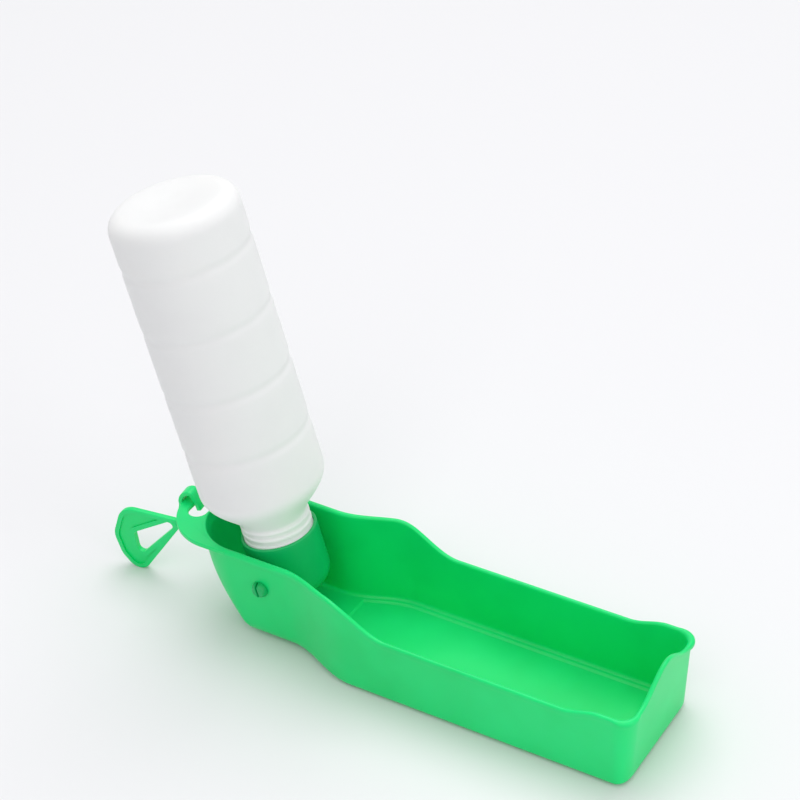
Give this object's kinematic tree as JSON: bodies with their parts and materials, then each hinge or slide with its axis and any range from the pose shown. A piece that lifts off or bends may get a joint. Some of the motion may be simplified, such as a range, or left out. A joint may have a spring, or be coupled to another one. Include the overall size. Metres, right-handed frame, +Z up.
{
  "type": "pet travel water bottle",
  "caption": "Squeeze bottle leaning back in a pivoting collar at the rear of a long drinking trough, with a hanging tab and a carry loop; the bottle folds down into the trough.",
  "frame": {"origin": "middle of the flat front foot under the trough, on the table", "axes": "+Z up, +X from the bottle towards the drinking end, +Y to the left of the drinking end"},
  "size_m": [0.3125, 0.0714, 0.2362],
  "materials": {
    "green_shell": "glossy moulded ABS",
    "green_collar": "glossy moulded ABS, a deeper green",
    "frosted_bottle": "frosted, slightly translucent blown plastic",
    "silicone": "soft translucent silicone"
  },
  "bodies": {
    "trough": {"trough": "green_shell"},
    "collar": {"collar_cap": "green_collar", "slit_valve": "silicone", "valve_retainer": "green_collar"},
    "seal": {"lip_gasket": "silicone"},
    "bottle": {"bottle": "frosted_bottle"},
    "carry_loop": {"carry_loop": "green_shell"}
  },
  "joints": [
    {"name": "collar_pivot", "type": "hinge", "parent": "trough", "child": "collar", "pos_m": [-0.12701, 0, 0.035], "axis": [0, 1, 0], "range_deg": [-18, 102.75]},
    {"name": "screw_feed", "type": "slide", "parent": "collar", "child": "seal", "axis": [0.2207, 0, -0.9753], "range_m": [0, 0.00251]},
    {"name": "bottle_turn", "type": "hinge", "parent": "seal", "child": "bottle", "pos_m": [-0.12701, 0, 0.035], "axis": [0.2207, 0, -0.9753], "range_deg": [0, 225]},
    {"name": "loop_swing", "type": "hinge", "parent": "trough", "child": "carry_loop", "pos_m": [-0.18392, 0, 0.0518], "axis": [-0.1132, 0.9936, 0], "range_deg": [-45, 50]}
  ],
  "couplings": [
    {"joint": "screw_feed", "follows": "bottle_turn", "m_per_rad": 0.00063662}
  ]
}
